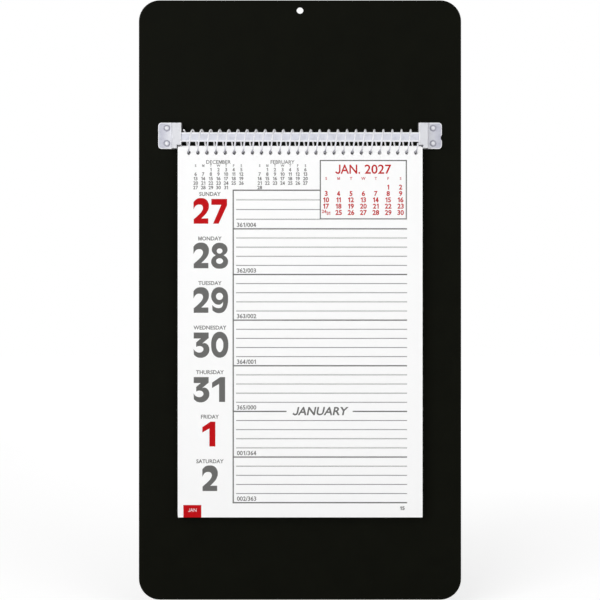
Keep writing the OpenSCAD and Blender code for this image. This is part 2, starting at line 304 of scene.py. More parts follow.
class CalendarSizes(bpy.types.PropertyGroup):
    """Sizes of the pieces that aren't read from the frame"""

    board_edge: millimetres("Board edge", 0.35, "Rounding of the board's edges")
    moulding_edge: millimetres("Moulding edge", 0.2, "Rounding of the brackets' edges")
    # The bright rims are painted highlights along the edges
    rim_width: millimetres("Rim width", 0.75, "Width of the brackets' bright rim")
    bar_rim: millimetres("Bar rim", 1.6, "Width of the bar's bright rim")
    wire: millimetres("Coil wire", 1.1, "Thickness of the coil's wire")
    lead: millimetres("Coil lead", 6.0, "Advance in one turn, and spacing of the holes")
    coil_left: degrees("Coil's left end", 180, "Turn of the coil to the left of its first hole")
    coil_right: degrees("Coil's right end", 75, "Turn of the coil to the right of its last hole")
    hole_count: IntProperty(name="Holes", description="Number of holes in a sheet", default=26, min=2)
    hole_first: millimetres("First hole", 6.85, "From a sheet's left edge to its first hole")
    hole_inset: millimetres("Hole inset", 3.6, "From a sheet's top edge to its holes")
    hole_size: millimetres("Hole", 3.2, "Diameter of a hole")


class CalendarPrint(bpy.types.PropertyGroup):
    """Heights and widths of a week's print"""

    ink: millimetres("Ink", 0.007, "Height of the ink on the paper")
    bed: millimetres("Ink bed", 0.002, "Depth of the ink in the paper")
    heavy_rule: millimetres("Heavy rule", 0.82, "Width of the rules between the days")
    light_rule: millimetres("Light rule", 0.46, "Width of the writing lines")
    name_caps: millimetres("Day name", 2.42, "Capital height of the day names")
    numeral_height: millimetres("Day number", 16.58, "Height of the day numbers")
    counter_caps: millimetres("Day count", 2.7, "Height of the counts of days gone and left")
    heading_caps: millimetres("Month heading", 5.15, "Capital height of a new month's name")
    box_rule: millimetres("Box rule", 0.74, "Width of the rule round the month's table")
    tag_caps: millimetres("Tag letters", 2.35, "Capital height of the tag's letters")
    page_caps: millimetres("Page number", 2.2, "Height of the page number")


class CalendarColours(bpy.types.PropertyGroup):
    """Colours of the pieces"""

    board: colour("Board", (0.0042, 0.0045, 0.0028), "Black of the backing board")
    # Painted shade: the flange's colour is partly the dark board seen through thin plastic, partly shade
    # that deepens away from the ramp
    flange: colour("Flange", (0.43, 0.435, 0.515), "Milky plastic on the dark board")
    # Painted highlight: the ramp is made lighter than the block and the flange
    ramp: colour("Ramp", (0.78, 0.785, 0.83), "Milky plastic where it rises to the block")
    block: colour("Block", (0.64, 0.645, 0.68), "Milky plastic where it is thick")
    bar: colour("Bar", (0.625, 0.635, 0.705), "Milky plastic of the bar")
    # Painted highlight along the edges of the milky plastic
    rim: colour("Rim", (0.95, 0.95, 0.97), "Bright rim of the milky plastic")
    # Painted light on the coil's top, and painted shade in the holes below
    coil_top: colour("Coil, top", (0.95, 0.95, 0.96), "Coil in the light")
    coil_front: colour("Coil, front", (0.80, 0.805, 0.85), "Coil in front of the bar")
    coil_foot: colour("Coil, foot", (0.27, 0.27, 0.33), "Coil in the shade of the holes")
    # Painted light: the coil behind the bar is made brighter, as if lit through from the front
    coil_back: colour("Coil, back", (0.97, 0.97, 0.98), "Coil behind the bar")
    rivet: colour("Rivet", (0.79, 0.79, 0.83), "Middle of a rivet's head")
    # Painted shade round the rivet's head, partly the dark board seen through its clear rim
    rivet_ring: colour("Rivet ring", (0.38, 0.38, 0.44), "Clear rim of a rivet's head")
    paper: colour("Paper", (0.93, 0.93, 0.925), "White of the sheets")
    grey_ink: colour("Grey ink", (0.138, 0.138, 0.134), "Grey of the print")
    red_ink: colour("Red ink", (0.49, 0.002, 0.005), "Red of Sundays, holidays and the month")


class CalendarStage(bpy.types.PropertyGroup):
    """Camera, floor and light"""

    camera_distance: number("Camera distance", 0.9, "From the camera to the board's front", unit="LENGTH")
    floor_drop: millimetres("Floor drop", 7.0, "Board's lower edge above the floor")
    floor_near: number("Floor, near", 0.43, "White added to the floor near the object's shadow")
    floor_far: number("Floor, far", 0.7, "White added to the floor far away")
    ambient: number("Ambient", 0.4, "Strength of the even light all round")
    key_power: number("Key lamp", 19.3, "Power of the lamp on the left", unit="POWER")
    fill_power: number("Fill lamp", 8.5, "Power of the lamp on the right", unit="POWER")
    back_power: number("Back lamp", 9.5, "Power of the lamp behind", unit="POWER")


class CalendarSettings(bpy.types.PropertyGroup):
    """All the calendar's settings"""

    sizes: PointerProperty(type=CalendarSizes, name="Sizes")
    layout: PointerProperty(type=CalendarPrint, name="Print")
    colours: PointerProperty(type=CalendarColours, name="Colours")
    stage: PointerProperty(type=CalendarStage, name="Stage")


def settings():
    """The scene's calendar settings"""
    return bpy.context.scene.weekly_calendar


# Shader nodes

def add_node(tree, kind, values=None, **options):
    """A new node with its options set and its inputs set or linked"""
    made = tree.nodes.new(kind)
    for key, value in options.items():
        setattr(made, key, value)
    for key, value in (values or {}).items():
        if isinstance(value, bpy.types.NodeSocket):
            tree.links.new(value, made.inputs[key])
        else:
            made.inputs[key].default_value = value
    return made


def maths(tree, operation, first, second=0.0):
    """The result of a sum on two values"""
    return add_node(tree, "ShaderNodeMath", {0: first, 1: second}, operation=operation).outputs[0]


def vector_maths(tree, operation, first, second=(0.0, 0.0, 0.0)):
    """The result of a sum on two vectors"""
    return add_node(tree, "ShaderNodeVectorMath", {0: first, 1: second}, operation=operation).outputs[0]


def length_of(tree, vector):
    """The length of a vector"""
    return add_node(tree, "ShaderNodeVectorMath", {0: vector}, operation="LENGTH").outputs["Value"]


def axes_of(tree, vector):
    """The X, Y and Z of a vector"""
    return add_node(tree, "ShaderNodeSeparateXYZ", {0: vector}).outputs


def spread(tree, value, low, high, at_low=0.0, at_high=1.0):
    """A value that goes smoothly from at_low to at_high between two limits"""
    made = add_node(
        tree, "ShaderNodeMapRange",
        {"Value": value, "From Min": low, "From Max": high, "To Min": at_low, "To Max": at_high},
        interpolation_type="SMOOTHSTEP",
    )
    return made.outputs["Result"]


def mix(tree, share, first, second):
    """A colour between two others"""
    return add_node(tree, "ShaderNodeMix", {0: share, 6: first, 7: second}, data_type="RGBA").outputs[2]


def shade(rgb, factor=1.0):
    """A colour with alpha, made lighter or darker"""
    return (*(min(1.0, c * factor) for c in rgb), 1.0)


def varied(tree, rgb, tone, darkest, lightest):
    """A colour that grows lighter as a tone goes from 0 to 1"""
    return mix(tree, tone, shade(rgb, darkest), shade(rgb, lightest))


def clouded(tree, body, cloud, share, light):
    """A colour that takes up a share of a lighter one where it is cloudy"""
    return mix(tree, maths(tree, "MULTIPLY", cloud, share), body, light)


def both_tones(tree, first, second, share):
    """Two tones added up, with the second one's share of the sum"""
    rest = maths(tree, "MULTIPLY", first, 1 - share)
    return maths(tree, "ADD", rest, maths(tree, "MULTIPLY", second, share))


def group_value(tree, name, build, output, values):
    """The value of a shared shader node group, which is built when it is first needed"""
    group = bpy.data.node_groups.get(name)
    if not group:
        group = bpy.data.node_groups.new(name, "ShaderNodeTree")
        for socket, value in values.items():
            kind = "NodeSocketFloat" if isinstance(value, float) else "NodeSocketVector"
            group.interface.new_socket(name=socket, in_out="INPUT", socket_type=kind)
        group.interface.new_socket(name=output, in_out="OUTPUT", socket_type="NodeSocketFloat")
        given = group.nodes.new("NodeGroupInput").outputs
        group.links.new(build(group, given), group.nodes.new("NodeGroupOutput").inputs[output])
    return add_node(tree, "ShaderNodeGroup", values, node_tree=group).outputs[output]


def fine_grain(group, given):
    """Cloudy variation of a given size, from 0 to 1"""
    noise = add_node(group, "ShaderNodeTexNoise", {
        "Vector": given["Vector"], "Scale": maths(group, "DIVIDE", 1.0, given["Size"]),
        "Detail": 3.0, "Roughness": 0.55,
    })
    return spread(group, noise.outputs[0], *NOISE_LIMITS)


def bright_rim(group, given):
    """Nearness to the edge of a rounded rectangle in the board's plane, alike on both sides, which masks a
    painted rim highlight
    """
    mirrored = vector_maths(group, "ABSOLUTE", given["Vector"])
    from_middle = vector_maths(group, "SUBTRACT", mirrored, given["Middle"])
    from_middle = vector_maths(group, "ABSOLUTE", from_middle)
    straight = vector_maths(group, "SUBTRACT", given["Half Size"], given["Corner"])
    past = vector_maths(group, "SUBTRACT", from_middle, straight)
    axes = axes_of(group, past)
    inside = maths(group, "MINIMUM", maths(group, "MAXIMUM", axes["X"], axes["Z"]), 0.0)
    outside = length_of(group, vector_maths(group, "MAXIMUM", past))
    depth = maths(group, "SUBTRACT", given["Corner"], maths(group, "ADD", inside, outside))
    return spread(group, depth, 0.0, given["Width"], 1.0, 0.0)


def new_material(name, **constants):
    """A material, its tree and its Principled shader with constant values"""
    made = bpy.data.materials.new(name)
    made.use_nodes = True
    shader = made.node_tree.nodes["Principled BSDF"]
    for socket, value in constants.items():
        shader.inputs[socket.replace("_", " ")].default_value = value
    return made, made.node_tree, shader


def object_place(tree):
    """Object coordinates"""
    return add_node(tree, "ShaderNodeTexCoord").outputs["Object"]


def grain(tree, place, size):
    """Cloudy variation from the shared group"""
    return group_value(tree, "Fine grain", fine_grain, "Tone", {"Vector": place, "Size": size})


def rim_of(tree, place, low, high, corner, width, whole_length=False):
    """Mask of a painted highlight along a moulding's rim, between two corners of its box, on the right-hand
    side
    """
    middle = (low + high) / 2
    half = (high - low) / 2
    values = {
        "Vector": place,
        "Middle": (0.0 if whole_length else middle.x, 0.0, abs(middle.z)),
        "Half Size": (1.0 if whole_length else half.x, 1.0, half.z),
        "Corner": corner,
        "Width": width,
    }
    return group_value(tree, "Bright rim", bright_rim, "Rim", values)


def finish(tree, shader, base, tone, roughness):
    """Links a shader's colour, and its roughness, which follows a tone between two values"""
    tree.links.new(base, shader.inputs["Base Color"])
    tree.links.new(spread(tree, tone, 0.0, 1.0, *roughness), shader.inputs["Roughness"])


def add_bump(tree, shader, height, strength, distance):
    """Relief on a shader's normal"""
    bump = add_node(tree, "ShaderNodeBump", {"Height": height, "Strength": strength, "Distance": distance})
    tree.links.new(bump.outputs[0], shader.inputs["Normal"])


def board_material():
    """Matt black pressed board with a fine tooth"""
    made, tree, shader = new_material("black_board", Specular_IOR_Level=0.02)
    place = object_place(tree)
    tooth = grain(tree, place, size=0.35 * MM)
    tone = both_tones(tree, tooth, grain(tree, place, size=18 * MM), share=0.4)
    base = varied(tree, settings().colours.board, tone, darkest=0.8, lightest=1.25)
    finish(tree, shader, base, tone, roughness=(0.44, 0.6))
    add_bump(tree, shader, tooth, strength=0.2, distance=0.03 * MM)
    return made


def plastic_material(name, body, size, roughness, relief=0.0):
    """Milky plastic with a cloudy tone of a given size, from which a body function makes its colour"""
    made, tree, shader = new_material(name, IOR=PLASTIC_IOR)
    place = object_place(tree)
    cloud = grain(tree, place, size)
    finish(tree, shader, body(tree, place, cloud), cloud, roughness)
    if relief:
        add_bump(tree, shader, cloud, relief, distance=0.2 * MM)
    return made


def bracket_body(tree, place, cloud):
    """Milky moulding that darkens where it lies thin on the board, with a painted highlight beside the
    raised block that fades to painted shade outwards, and a painted highlight along its rim
    """
    colours = settings().colours
    low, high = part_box("right_bracket")
    block_end = low.x + BLOCK_WIDTH
    along = axes_of(tree, vector_maths(tree, "ABSOLUTE", place))["X"]
    # Painted light: the block's tone gives way to a painted highlight at the ramp, which fades to painted
    # shade towards the flange's end
    rising = spread(tree, along, block_end - BLOCK_BLEND[0], block_end + BLOCK_BLEND[1])
    flange = spread(tree, along, block_end + BLOCK_RAMP / 2, high.x - FLANGE_END)
    body = mix(tree, flange, shade(colours.ramp), shade(colours.flange))
    body = mix(tree, rising, shade(colours.block), body)
    body = clouded(tree, body, cloud, share=0.35, light=shade(colours.block, factor=1.06))
    # Painted highlight along the rim
    rim = rim_of(tree, place, low, high, BRACKET_CORNER, settings().sizes.rim_width)
    return mix(tree, rim, body, shade(colours.rim))


def bar_body(tree, place, cloud):
    """Milky bar with a painted highlight along its upper and lower edges"""
    colours = settings().colours
    low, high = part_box("hanger_bar")
    body = varied(tree, colours.bar, cloud, darkest=0.95, lightest=1.06)
    # Painted highlight along the upper and lower edges
    rim = rim_of(tree, place, low, high, 0.0, settings().sizes.bar_rim, whole_length=True)
    return mix(tree, rim, body, shade(colours.rim))


def rivet_body(tree, place, cloud):
    """A bright middle in a darker ring, which is painted shade of the head's sides and seat over the dark
    board seen through its clear rim
    """
    colours = settings().colours
    low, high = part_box("bracket_rivets")
    pair_place = (high.x - RIVET_R, 0.0, -(low.z + high.z) / 2)
    rivet_place = (0.0, 0.0, (high.z - low.z) / 2 - RIVET_R)
    from_pair = vector_maths(tree, "SUBTRACT", vector_maths(tree, "ABSOLUTE", place), pair_place)
    from_rivet = vector_maths(tree, "SUBTRACT", vector_maths(tree, "ABSOLUTE", from_pair), rivet_place)
    radius = length_of(tree, vector_maths(tree, "MULTIPLY", from_rivet, (1.0, 0.0, 1.0)))
    # Painted shade ring round the bright middle
    ring = spread(tree, radius, RING_BLEND[0] * RIVET_R, RING_BLEND[1] * RIVET_R)
    middle = varied(tree, colours.rivet, cloud, darkest=0.95, lightest=1.05)
    return mix(tree, ring, middle, shade(colours.rivet_ring))


def coil_body(tree, place, cloud):
    """Clear-white filament with painted shade where it stands in the holes and painted light towards the
    top and behind the bar
    """
    colours = settings().colours
    low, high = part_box("binding_coil")
    bar_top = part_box("hanger_bar")[1].z
    axes = axes_of(tree, place)
    # Painted shade in the holes, and painted light at the top and behind the bar
    clear = spread(tree, axes["Z"], low.z + FOOT_BLEND[0], low.z + FOOT_BLEND[1])
    lit = spread(tree, axes["Z"], bar_top - TOP_BLEND[0], bar_top + TOP_BLEND[1])
    behind = spread(tree, axes["Y"], (low.y + high.y) / 2, high.y - settings().sizes.wire)
    body = mix(tree, clear, shade(colours.coil_foot), shade(colours.coil_front))
    body = mix(tree, lit, body, shade(colours.coil_top))
    body = mix(tree, behind, body, shade(colours.coil_back))
    return clouded(tree, body, cloud, share=0.25, light=shade(colours.coil_top))


def paper_material():
    """Smooth white writing paper"""
    name = "white_paper"
    if name in bpy.data.materials:
        return bpy.data.materials[name]
    made, tree, shader = new_material(name, Specular_IOR_Level=0.2)
    place = object_place(tree)
    fibre = grain(tree, place, size=FIBRE)
    tone = both_tones(tree, fibre, grain(tree, place, size=30 * MM), share=0.3)
    base = varied(tree, settings().colours.paper, tone, darkest=0.985, lightest=1.015)
    finish(tree, shader, base, tone, roughness=(0.55, 0.7))
    add_bump(tree, shader, fibre, strength=0.06, distance=0.02 * MM)
    return made


def ink_material(name):
    """Printing ink of a named colour, which the paper's fibres lighten a little"""
    if name in bpy.data.materials:
        return bpy.data.materials[name]
    made, tree, shader = new_material(name, Specular_IOR_Level=0.08)
    fibre = grain(tree, object_place(tree), size=FIBRE)
    base = varied(tree, getattr(settings().colours, name), fibre, darkest=0.93, lightest=1.07)
    finish(tree, shader, base, fibre, roughness=(0.45, 0.6))
    return made


def seen_directly(tree):
    """1 for rays from the camera and for those that a mirror or glass sends on"""
    path = add_node(tree, "ShaderNodeLightPath").outputs
    some = maths(tree, "MAXIMUM", path["Is Camera Ray"], path["Is Glossy Ray"])
    return maths(tree, "MAXIMUM", some, path["Is Transmission Ray"])


def floor_material():
    """Pale floor that looks white and keeps the shadow on it"""
    stage = settings().stage
    made = bpy.data.materials.new("pale_floor")
    made.use_nodes = True
    tree = made.node_tree
    tree.nodes.clear()
    pale = add_node(tree, "ShaderNodeBsdfDiffuse", {"Color": FLOOR_COLOUR})
    away = length_of(tree, vector_maths(tree, "MULTIPLY", object_place(tree), (1.0, 1.0, 0.0)))
    white = spread(tree, away, *FLOOR_FADE, stage.floor_near, stage.floor_far)
    strength = maths(tree, "MULTIPLY", seen_directly(tree), white)
    glow = add_node(tree, "ShaderNodeEmission", {"Strength": strength})
    surface = add_node(tree, "ShaderNodeAddShader", {0: pale.outputs[0], 1: glow.outputs[0]})
    add_node(tree, "ShaderNodeOutputMaterial", {"Surface": surface.outputs[0]})
    return made


# Meshes

def mesh_from(bm, name):
    """A mesh from a bmesh, which is freed"""
    mesh = bpy.data.meshes.new(name)
    bm.to_mesh(mesh)
    bm.free()
    return mesh


def add_object(name, data):
    """An object in the scene"""
    made = bpy.data.objects.new(name, data)
    bpy.context.scene.collection.objects.link(made)
    return made


def cad_copy(node):
    """A CAD node's mesh with its loose triangles welded and its flat faces made whole"""
    bm = bmesh.new()
    bm.from_mesh(frame["nodes"][node].data)
    bmesh.ops.remove_doubles(bm, verts=bm.verts, dist=WELD)
    bmesh.ops.dissolve_limit(bm, angle_limit=FLAT, verts=bm.verts, edges=bm.edges)
    return bm


def bevel(bm, edges, width, loop_slide):
    """Rounds edges of a solid"""
    bmesh.ops.bevel(
        bm, geom=edges, offset=width, offset_type="OFFSET", affect="EDGES", segments=EDGE_SEGMENTS,
        profile=0.5, material=-1, clamp_overlap=True, loop_slide=loop_slide,
    )


def body_of_node(node):
    """The body that carries a CAD node"""
    return frame["nodes"][node]["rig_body"]


def make_piece(bm, name, material, body):
    """A finished piece from a bmesh, riding on a body"""
    mesh = mesh_from(bm, name)
    mesh.materials.append(material)
    piece = add_object(name, mesh)
    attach(piece, body)
    return piece


def shade_smooth(piece):
    """Smooth shading that keeps flat faces flat"""
    piece.data.shade_smooth()
    piece.data.set_sharp_from_angle(angle=SHARP)
    weighted = piece.modifiers.new("Flat faces stay flat", "WEIGHTED_NORMAL")
    weighted.keep_sharp = True


def let_light_through(piece):
    """Keeps thin, clear plastic from throwing a shadow"""
    piece.visible_shadow = False


def rounded_copy(node, name, material, edge):
    """A piece that stands for a CAD node, with its sharp edges rounded"""
    bm = cad_copy(node)
    sharp = [e for e in bm.edges if e.is_manifold and e.calc_face_angle() > SHARP]
    bevel(bm, sharp, edge, loop_slide=True)
    piece = make_piece(bm, name, material, body_of_node(node))
    shade_smooth(piece)
    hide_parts(node)
    return piece


def coil_mesh():
    """The binding coil: one round wire wound about the axis of its CAD solid"""
    sizes = settings().sizes
    low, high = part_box("binding_coil")
    axis = (low + high) / 2
    radius = (high.z - low.z - sizes.wire) / 2
    advance = sizes.lead / math.tau
    turn = math.tau * (sizes.hole_count - 1) + sizes.coil_left + sizes.coil_right
    steps = round(COIL_STEPS * turn / math.tau)
    start = -sizes.coil_left
    place = axis + Vector((-advance * turn / 2, -radius * math.sin(start), -radius * math.cos(start)))
    heading = Vector((advance, -radius * math.cos(start), radius * math.sin(start)))
    bm = bmesh.new()
    ring = bmesh.ops.create_circle(
        bm, segments=WIRE_SIDES, radius=sizes.wire / 2,
        matrix=Matrix.Translation(place) @ heading.to_track_quat("Z", "X").to_matrix().to_4x4(),
    )["verts"]
    first = list({e for v in ring for e in v.link_edges})
    wound = bmesh.ops.spin(
        bm, geom=ring + first, cent=axis, axis=(-1.0, 0.0, 0.0), angle=turn, steps=steps,
        dvec=(advance * turn / steps, 0.0, 0.0), use_merge=False, use_duplicate=False,
    )
    last = [e for e in wound["geom_last"] if isinstance(e, bmesh.types.BMEdge)]
    ends = first + last
    for end in (first, last):
        bmesh.ops.contextual_create(bm, geom=end)
    bevel(bm, ends, END_ROUNDING * sizes.wire, loop_slide=False)
    bmesh.ops.recalc_face_normals(bm, faces=bm.faces)
    return bm


def sheet_mesh(node):
    """A sheet with its row of round holes, in the place of a CAD sheet"""
    sizes = settings().sizes
    low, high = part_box(node)
    bm = bmesh.new()
    corners = [bm.verts.new((x, high.y, z)) for x, z in
               ((low.x, low.z), (high.x, low.z), (high.x, high.z), (low.x, high.z))]
    edges = [bm.edges.new((corners[i - 1], corners[i])) for i in range(len(corners))]
    for k in range(sizes.hole_count):
        middle = Vector((low.x + sizes.hole_first + k * sizes.lead, high.y, high.z - sizes.hole_inset))
        hole = bmesh.ops.create_circle(bm, segments=HOLE_SIDES, radius=sizes.hole_size / 2,
                                       matrix=Matrix.Translation(middle) @ UPRIGHT)["verts"]
        edges += list({e for v in hole for e in v.link_edges})
    filled = bmesh.ops.triangle_fill(bm, edges=edges, use_beauty=True, normal=(0.0, 1.0, 0.0))
    faces = [f for f in filled["geom"] if isinstance(f, bmesh.types.BMFace)]
    made = bmesh.ops.extrude_face_region(bm, geom=faces, use_keep_orig=True)["geom"]
    front = [v for v in made if isinstance(v, bmesh.types.BMVert)]
    bmesh.ops.translate(bm, verts=front, vec=(0.0, low.y - high.y, 0.0))
    bmesh.ops.recalc_face_normals(bm, faces=bm.faces)
    return mesh_from(bm, "sheet")


def sheet_stack(nodes):
    """Like sheets in the places of CAD sheets"""
    bm = bmesh.new()
    sheet = sheet_mesh(nodes[0])
    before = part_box(nodes[0])[0]
    for node in nodes:
        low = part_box(node)[0]
        sheet.transform(Matrix.Translation(low - before))
        bm.from_mesh(sheet)
        before = low
    bpy.data.meshes.remove(sheet)
    return bm


# Print

def ink_depth():
    """Whole thickness of the ink"""
    return settings().layout.ink + settings().layout.bed


def mesh_of(curve):
    """A flat curve or lettering as a mesh with the ink's thickness"""
    curve.extrude = ink_depth() / 2
    holder = bpy.data.objects.new(curve.name, curve)
    mesh = bpy.data.meshes.new_from_object(holder)
    bpy.data.objects.remove(holder)
    bpy.data.curves.remove(curve)
    return mesh


def outline_mesh(outlines, height, weight=0.0):
    """A filled letter from its outlines; weight thickens or thins its strokes"""
    curve = bpy.data.curves.new("outline", "CURVE")
    curve.dimensions = "2D"
    curve.fill_mode = "BOTH"
    curve.offset = weight * height
    curve.resolution_u = OUTLINE_STEPS
    for outline in outlines:
        spline = curve.splines.new("BEZIER")
        spline.bezier_points.add(len(outline) - 1)
        spline.use_cyclic_u = True
        for made, point in zip(spline.bezier_points, outline):
            made.co = (point.x * height / 100, point.y * height / 100, 0.0)
        for made, point in zip(spline.bezier_points, outline):
            made.handle_left_type = made.handle_right_type = "AUTO" if point.smooth else "VECTOR"
    return mesh_of(curve)


def lettering_mesh(text, caps, weight):
    """Words in the built-in font, from their left end; weight thickens or thins the strokes"""
    curve = bpy.data.curves.new("lettering", "FONT")
    curve.body = text
    curve.size = caps / FONT_CAPS
    curve.offset = weight * caps
    curve.resolution_u = LETTER_STEPS
    return mesh_of(curve)


def word_meshes(text, caps, weight):
    """Meshes of words from left to right, with the gap beside each"""
    for own, run in itertools.groupby(text, lambda letter: letter in OWN_LETTERS):
        if not own:
            yield lettering_mesh("".join(run), caps, weight), 0.0
            continue
        for letter in run:
            outlines, gap = OWN_LETTERS[letter]
            yield outline_mesh(outlines, caps, weight), gap * caps / 100


def span(mesh):
    """Left and right ends of a flat mesh"""
    across = [v.co.x for v in mesh.vertices]
    return min(across), max(across)


class Printer:
    """Collects the ink of one colour on one sheet; places are given from the sheet's left and top edges"""

    def __init__(self, week):
        layout = settings().layout
        low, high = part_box(week.node)
        self.left = low.x
        self.top = high.z
        self.level = low.y + (layout.bed - layout.ink) / 2
        self.body = body_of_node(week.node)
        self.week = week.name
        self.bm = bmesh.new()

    def stamp(self, mesh, x, down, style=PLAIN, lift=0.0):
        """Puts a flat mesh on the sheet, with its origin at a place"""
        where = Vector((self.left + x, self.level - lift, self.top - down))
        lean = Matrix(((style.stretch, style.slant, 0, 0), (0, 1, 0, 0), (0, 0, 1, 0), (0, 0, 0, 1)))
        mesh.transform(Matrix.Translation(where) @ UPRIGHT @ lean)
        self.bm.from_mesh(mesh)
        bpy.data.meshes.remove(mesh)

    def write(self, text, x, down, caps, style=PLAIN, align=CENTRED, lift=0.0):
        """Writes words on a line, which start at x, are centred on it or end there"""
        parts = []
        end = gap_before = 0.0
        for mesh, gap in word_meshes(text, caps, style.weight):
            left, right = span(mesh)
            start = end + (max(gap, gap_before) - 2 * style.weight * caps if parts else 0.0)
            parts.append((mesh, start - left))
            end = start + right - left
            gap_before = gap
        for mesh, offset in parts:
            self.stamp(mesh, x + (offset - align * end) * style.stretch, down, style, lift)

    def number(self, digits, middle, down, height):
        """Writes a day's number in large numerals about a middle line"""
        unit = height / 100
        width = NUMERAL_ADVANCE * (len(digits) - 1) + NUMERAL_WIDTH
        for k, digit in enumerate(digits):
            side = NUMERAL_SIDE.get(digit, 0.0) if k else 0.0
            left = (k * NUMERAL_ADVANCE + side - width / 2) * unit
            self.stamp(outline_mesh(NUMERALS[digit], height), middle + left, down)

    def bar(self, left, top, right, bottom):
        """Prints a solid rectangle"""
        middle = Vector((self.left + (left + right) / 2, self.level, self.top - (top + bottom) / 2))
        size = Vector((right - left, ink_depth(), bottom - top))
        bmesh.ops.create_cube(self.bm, size=1.0, matrix=Matrix.LocRotScale(middle, None, size))

    def across(self, left, right, down, width):
        """Prints a level rule"""
        self.bar(left, down - width / 2, right, down + width / 2)

    def upright(self, x, top, bottom, width):
        """Prints an upright rule"""
        self.bar(x - width / 2, top, x + width / 2, bottom)

    def done(self, name, material):
        """Makes the collected ink a piece that is named after its week and rides with its sheet"""
        bmesh.ops.remove_doubles(self.bm, verts=self.bm.verts, dist=WELD)
        bmesh.ops.recalc_face_normals(self.bm, faces=self.bm.faces)
        make_piece(self.bm, f"{self.week}_{name}", material, self.body)


def days_of(week):
    """The week's days"""
    return [week.sunday + datetime.timedelta(days=k) for k in range(DAYS)]


def is_red(day):
    """Sundays and New Year are printed red"""
    return day.weekday() == calendar.SUNDAY or (day.month, day.day) == (1, 1)


def rule_heights():
    """Heights of the rules above the days and below the last"""
    return [FIRST_RULE] + [SECOND_RULE + k * ROW_PITCH for k in range(DAYS)]


def print_rules(week):
    """Rules between the days, writing lines and the box for the month"""
    layout = settings().layout
    box_left, box_top, box_right, box_bottom = (v * MM for v in MONTH_BOX)
    heavy = layout.heavy_rule
    half_box = layout.box_rule / 2
    half_gap = HEADING_GAP / 2
    left = COLUMN_LEFT + heavy / 2
    ends = [box_left - half_box] + [COLUMN_RIGHT] * DAYS
    rules = rule_heights()
    days = days_of(week)
    ink = Printer(week)
    ink.upright(COLUMN_LEFT, rules[0] - heavy / 2, rules[-1] + heavy / 2, heavy)
    for k, (down, right) in enumerate(zip(rules, ends)):
        if 0 < k < DAYS and days[k].month != days[k - 1].month:
            ink.across(left, HEADING_MIDDLE - half_gap, down, heavy)
            ink.across(HEADING_MIDDLE + half_gap, right, down, heavy)
        else:
            ink.across(left, right, down, heavy)
    for k, lines in enumerate(WRITING_LINES):
        for n in range(1, lines + 1):
            down = rules[k] + (rules[k + 1] - rules[k]) * n / (lines + 1)
            ink.across(LINE_LEFT, ends[k], down, layout.light_rule)
    for down in (box_top, box_bottom):
        ink.across(box_left - half_box, box_right + half_box, down, layout.box_rule)
    for x in (box_left, box_right):
        ink.upright(x, box_top + half_box, box_bottom - half_box, layout.box_rule)
    ink.done("rules", ink_material("grey_ink"))


def print_days(week):
    """Names, numbers and day counts of the week, and a month's name where it begins"""
    layout = settings().layout
    grey, red = Printer(week), Printer(week)
    rules = rule_heights()
    before = week.sunday
    for k, day in enumerate(days_of(week)):
        lower = k * DAY_PITCH
        name = calendar.day_name[day.weekday()].upper()
        grey.write(name, DAY_MIDDLE, NAME_DOWN + lower, layout.name_caps, DAY_STYLE)
        ink = red if is_red(day) else grey
        ink.number(str(day.day), DAY_MIDDLE, NUMERAL_DOWN + lower, layout.numeral_height)
        gone = day.timetuple().tm_yday
        left = datetime.date(day.year, 12, 31).timetuple().tm_yday - gone
        grey.write(f"{gone:03d}/{left:03d}", COUNTER_LEFT, rules[k + 1] - COUNTER_RISE,
                   layout.counter_caps, DAY_STYLE, STARTING)
        if before.month != day.month:
            month = calendar.month_name[day.month].upper()
            down = rules[k] + HEADING_DROP * layout.heading_caps
            grey.write(month, HEADING_MIDDLE, down, layout.heading_caps, HEADING_STYLE)
        before = day
    grey.write(str(week.page), PAGE_RIGHT, PAGE_DOWN, layout.page_caps, PAGE_STYLE, ENDING)
    grey.done("days_grey", ink_material("grey_ink"))
    red.done("days_red", ink_material("red_ink"))


def month_rows(month):
    """A month's dates in rows from Sunday to Saturday; those of a sixth row join the fifth's as pairs"""
    rows = calendar.Calendar(firstweekday=calendar.SUNDAY).monthdayscalendar(month.year, month.month)
    rows = [[str(date) if date else "" for date in row] for row in rows]
    for row in rows[TABLE_ROWS:]:
        for k, date in enumerate(row):
            rows[TABLE_ROWS - 1][k] += f"/{date}" if date else ""
    return rows[:TABLE_ROWS]


def print_table(ink, month, table, style):
    """A month's weekday letters and dates"""
    columns = [(table.first_column + k * table.column_pitch) * MM for k in range(DAYS)]
    caps = table.date_caps * MM
    for x, letter in zip(columns, "SMTWTFS"):
        ink.write(letter, x, table.letter_down * MM, table.letter_caps * MM, LETTER_STYLE)
    for n, row in enumerate(month_rows(month)):
        down = (table.date_down + n * table.row_pitch) * MM
        for x, date in zip(columns, row):
            if "/" in date:
                for text, (right, up) in zip(date.partition("/"), PAIR_PLACES):
                    ink.write(text, x + right * caps, down - up * caps, PAIR_SIZE * caps,
                              PLAIN if text == "/" else style)
            elif date:
                ink.write(date, x, down, caps, style)


